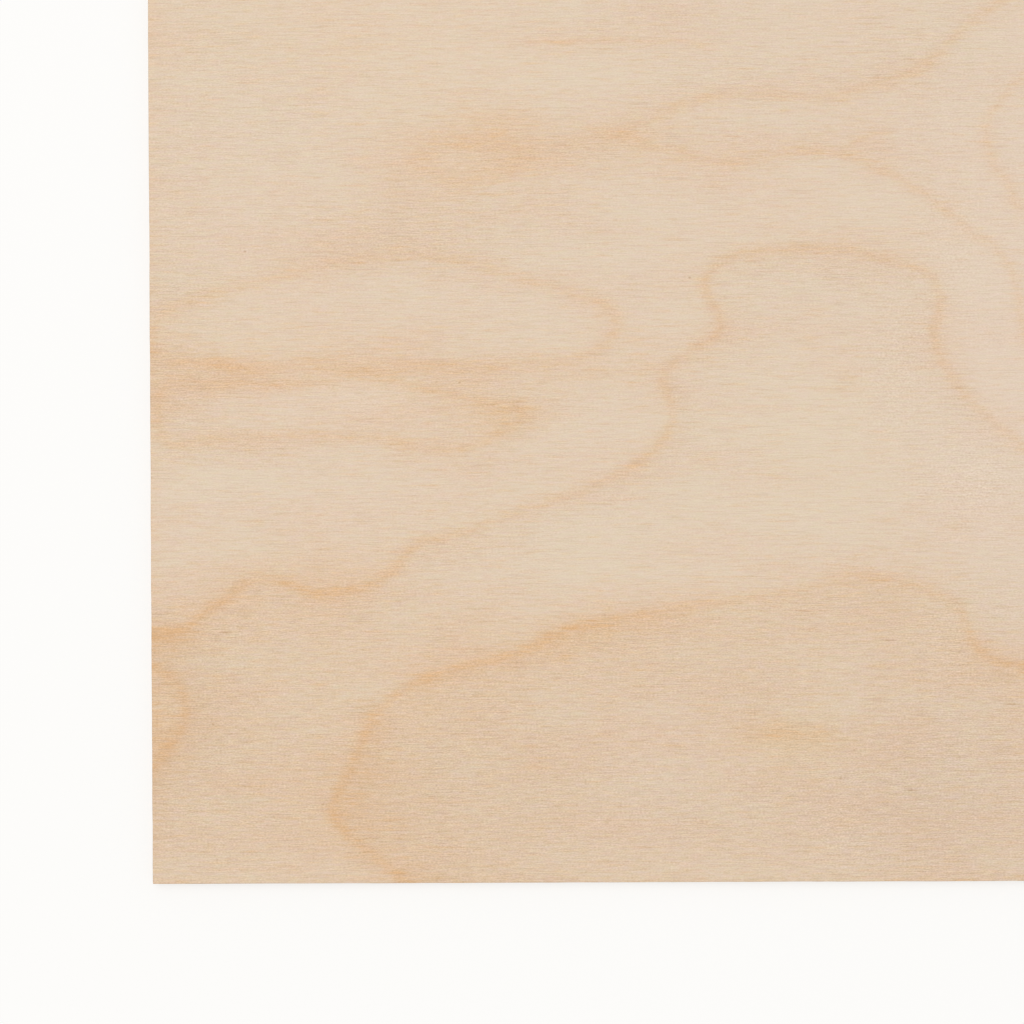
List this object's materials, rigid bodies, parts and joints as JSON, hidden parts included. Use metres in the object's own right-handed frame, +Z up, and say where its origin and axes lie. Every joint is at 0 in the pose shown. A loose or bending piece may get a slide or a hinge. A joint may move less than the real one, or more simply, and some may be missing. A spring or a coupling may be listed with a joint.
{
  "type": "plywood sheet",
  "caption": "Thin square sheet of pale birch plywood, craft size, with trimmed square edges and a rotary-cut face figure.",
  "frame": {"origin": "middle of the underside, the face that the sheet lies on", "axes": "+X along the grain of the outer plies, +Y across it, +Z up through the thickness, out of the good face"},
  "size_m": [0.3, 0.3, 0.003],
  "materials": {
    "birch_plywood": "matte"
  },
  "bodies": {
    "root": {"plywood_sheet": "birch_plywood"}
  },
  "joints": []
}
